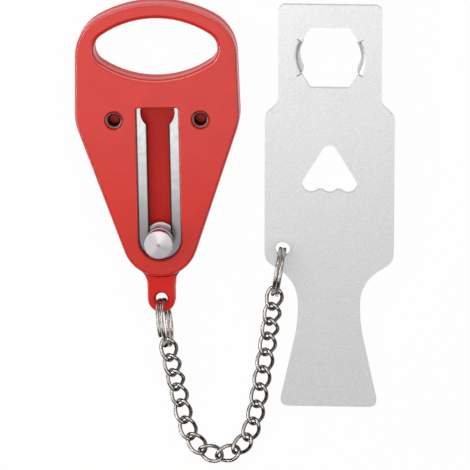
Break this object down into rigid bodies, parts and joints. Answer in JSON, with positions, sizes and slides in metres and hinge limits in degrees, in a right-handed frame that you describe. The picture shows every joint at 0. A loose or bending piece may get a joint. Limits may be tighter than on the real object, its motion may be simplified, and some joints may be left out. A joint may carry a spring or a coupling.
{
  "type": "portable door lock",
  "caption": "Portable door lock: a red slotted handle with a sliding lock pin, a steel strike plate with two bent ears, and a curb chain on split rings joining them.",
  "frame": {"origin": "on the table, under the middle of the whole lock's bounding box", "axes": "+X to the right across the lock from the handle to the plate, +Y up along the handle from its lug to its finger hole, +Z off the table"},
  "size_m": [0.1086, 0.162, 0.0181],
  "materials": {
    "red_plastic": "satin moulded plastic",
    "dark_red_plastic": "satin moulded plastic",
    "slide_steel": "cold-rolled, satin",
    "rivet_steel": "bright rolled",
    "turned_steel": "turned, with fine rings",
    "ring_nickel": "nickel-plated",
    "chain_nickel": "nickel-plated",
    "plate_steel": "bead-blasted stainless steel"
  },
  "bodies": {
    "handle": {"front_shell": "red_plastic", "back_shell": "dark_red_plastic", "slide_plate": "slide_steel", "rivet_left": "rivet_steel", "rivet_right": "rivet_steel"},
    "lock_pin": {"locking_pin": "turned_steel"},
    "handle_ring": {"split_ring_handle": "ring_nickel"},
    "link_01": {"link_01": "chain_nickel"},
    "link_02": {"link_02": "chain_nickel"},
    "link_03": {"link_03": "chain_nickel"},
    "link_04": {"link_04": "chain_nickel"},
    "link_05": {"link_05": "chain_nickel"},
    "link_06": {"link_06": "chain_nickel"},
    "link_07": {"link_07": "chain_nickel"},
    "link_08": {"link_08": "chain_nickel"},
    "link_09": {"link_09": "chain_nickel"},
    "link_10": {"link_10": "chain_nickel"},
    "link_11": {"link_11": "chain_nickel"},
    "link_12": {"link_12": "chain_nickel"},
    "link_13": {"link_13": "chain_nickel"},
    "link_14": {"link_14": "chain_nickel"},
    "link_15": {"link_15": "chain_nickel"},
    "link_16": {"link_16": "chain_nickel"},
    "link_17": {"link_17": "chain_nickel"},
    "link_18": {"link_18": "chain_nickel"},
    "link_19": {"link_19": "chain_nickel"},
    "plate_ring": {"split_ring_plate": "ring_nickel"},
    "plate": {"strike_plate": "plate_steel"}
  },
  "joints": [
    {"name": "pin_slide", "type": "slide", "parent": "handle", "child": "lock_pin", "axis": [-0.0157, 0.9999, 0], "range_m": [0, 0.0405]},
    {"name": "handle_ring_swing", "type": "hinge", "parent": "handle", "child": "handle_ring", "pos_m": [-0.02526, -0.02194, 0.0065], "axis": [0, 0, 1], "range_deg": [-20, 3]},
    {"name": "link_01_swing", "type": "hinge", "parent": "handle_ring", "child": "link_01", "pos_m": [-0.02307, -0.03808, 0.00853], "axis": [0, 0, -1], "range_deg": [-3, 15]},
    {"name": "link_02_swing", "type": "hinge", "parent": "link_01", "child": "link_02", "pos_m": [-0.02232, -0.04246, 0.00768], "axis": [0, 0, 1], "range_deg": [-20, 3]},
    {"name": "link_03_swing", "type": "hinge", "parent": "link_02", "child": "link_03", "pos_m": [-0.02131, -0.0482, 0.00555], "axis": [0, 0, -1], "range_deg": [-3, 20]},
    {"name": "link_04_swing", "type": "hinge", "parent": "link_03", "child": "link_04", "pos_m": [-0.02028, -0.05385, 0.00321], "axis": [0, 0, 1], "range_deg": [-20, 3]},
    {"name": "link_05_swing", "type": "hinge", "parent": "link_04", "child": "link_05", "pos_m": [-0.01916, -0.05978, 0.00182], "axis": [0, 0, -1], "range_deg": [-3, 20]},
    {"name": "link_06_swing", "type": "hinge", "parent": "link_05", "child": "link_06", "pos_m": [-0.01794, -0.06586, 0.00171], "axis": [0, 0, 1], "range_deg": [-20, 3]},
    {"name": "link_07_swing", "type": "hinge", "parent": "link_06", "child": "link_07", "pos_m": [-0.01593, -0.07173, 0.00171], "axis": [0, 0, -1], "range_deg": [-3, 20]},
    {"name": "link_08_swing", "type": "hinge", "parent": "link_07", "child": "link_08", "pos_m": [-0.01205, -0.07656, 0.00171], "axis": [0, 0, 1], "range_deg": [-20, 3]},
    {"name": "link_09_swing", "type": "hinge", "parent": "link_08", "child": "link_09", "pos_m": [-0.00621, -0.07865, 0.00171], "axis": [0, 0, -1], "range_deg": [-3, 20]},
    {"name": "link_10_swing", "type": "hinge", "parent": "link_09", "child": "link_10", "pos_m": [-0.00028, -0.07683, 0.00171], "axis": [0, 0, 1], "range_deg": [-20, 3]},
    {"name": "link_11_swing", "type": "hinge", "parent": "link_10", "child": "link_11", "pos_m": [0.00375, -0.07212, 0.00171], "axis": [0, 0, -1], "range_deg": [-3, 20]},
    {"name": "link_12_swing", "type": "hinge", "parent": "link_11", "child": "link_12", "pos_m": [0.00582, -0.06628, 0.00171], "axis": [0, 0, 1], "range_deg": [-20, 3]},
    {"name": "link_13_swing", "type": "hinge", "parent": "link_12", "child": "link_13", "pos_m": [0.007, -0.06019, 0.00171], "axis": [0, 0, -1], "range_deg": [-3, 20]},
    {"name": "link_14_swing", "type": "hinge", "parent": "link_13", "child": "link_14", "pos_m": [0.00809, -0.05409, 0.00171], "axis": [0, 0, 1], "range_deg": [-5, 4]},
    {"name": "link_15_swing", "type": "hinge", "parent": "link_14", "child": "link_15", "pos_m": [0.00914, -0.04798, 0.00171], "axis": [0, 0, -1], "range_deg": [-4, 5]},
    {"name": "link_16_swing", "type": "hinge", "parent": "link_15", "child": "link_16", "pos_m": [0.01015, -0.04186, 0.00182], "axis": [0, 0, 1], "range_deg": [-5, 4]},
    {"name": "link_17_swing", "type": "hinge", "parent": "link_16", "child": "link_17", "pos_m": [0.01109, -0.03589, 0.0032], "axis": [0, 0, -1], "range_deg": [-4, 5]},
    {"name": "link_18_swing", "type": "hinge", "parent": "link_17", "child": "link_18", "pos_m": [0.01196, -0.03021, 0.00554], "axis": [0, 0, 1], "range_deg": [-5, 4]},
    {"name": "link_19_swing", "type": "hinge", "parent": "link_18", "child": "link_19", "pos_m": [0.0128, -0.02445, 0.00765], "axis": [0, 0, -1], "range_deg": [-4, 5]},
    {"name": "plate_ring_swing", "type": "hinge", "parent": "link_19", "child": "plate_ring", "pos_m": [0.01341, -0.02005, 0.0085], "axis": [0, 0, 1], "range_deg": [-5, 4]},
    {"name": "plate_swing", "type": "hinge", "parent": "plate_ring", "child": "plate", "pos_m": [0.01604, -0.0048, 0.00456], "axis": [0, 0, -1], "range_deg": [-5, 3]}
  ]
}
